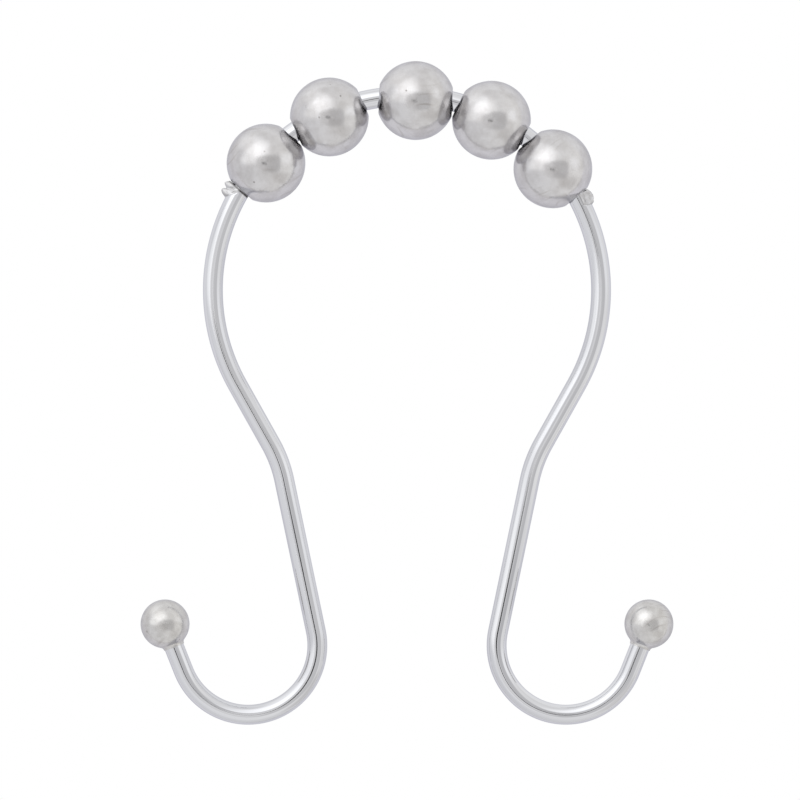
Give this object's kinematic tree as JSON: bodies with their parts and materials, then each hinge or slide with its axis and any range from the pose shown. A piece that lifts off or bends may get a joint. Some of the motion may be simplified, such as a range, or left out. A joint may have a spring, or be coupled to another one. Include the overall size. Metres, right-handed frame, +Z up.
{
  "type": "double curtain hook",
  "caption": "Open wire loop with a hook at each foot, for hanging a curtain and its liner from a rod. Hollow beads strung on the top of the loop roll along the rod.",
  "frame": {"origin": "centre of the wire loop, on the line that the curtain rod runs along", "axes": "+Z up as the hook hangs, +X to the right as the picture shows it, Y along the curtain rod and +Y away from the viewer"},
  "size_m": [0.0642, 0.0094, 0.08],
  "materials": {
    "wire": "bright plated, drawn steel wire",
    "roller": "polished steel, with fine scratches",
    "end_bead": "polished steel"
  },
  "bodies": {
    "hook": {"hook_wire": "wire", "end_bead_left": "end_bead", "end_bead_right": "end_bead"},
    "roller_1": {"roller_bead_1": "roller"},
    "roller_2": {"roller_bead_2": "roller"},
    "roller_3": {"roller_bead_3": "roller"},
    "roller_4": {"roller_bead_4": "roller"},
    "roller_5": {"roller_bead_5": "roller"}
  },
  "joints": [
    {"name": "roller_1_spin", "type": "hinge", "parent": "hook", "child": "roller_1", "pos_m": [-0.01699, 0, 0.01531], "axis": [0.6695, 0, 0.7428], "continuous": true},
    {"name": "roller_2_spin", "type": "hinge", "parent": "hook", "child": "roller_2", "pos_m": [-0.00936, 0, 0.02087], "axis": [0.9125, 0, 0.4091], "continuous": true},
    {"name": "roller_3_spin", "type": "hinge", "parent": "hook", "child": "roller_3", "pos_m": [0.00105, 0, 0.02285], "axis": [0.999, 0, -0.0457], "continuous": true},
    {"name": "roller_4_spin", "type": "hinge", "parent": "hook", "child": "roller_4", "pos_m": [0.01019, 0, 0.02048], "axis": [0.8953, 0, -0.4454], "continuous": true},
    {"name": "roller_5_spin", "type": "hinge", "parent": "hook", "child": "roller_5", "pos_m": [0.01759, 0, 0.01462], "axis": [0.6391, 0, -0.7691], "continuous": true}
  ]
}
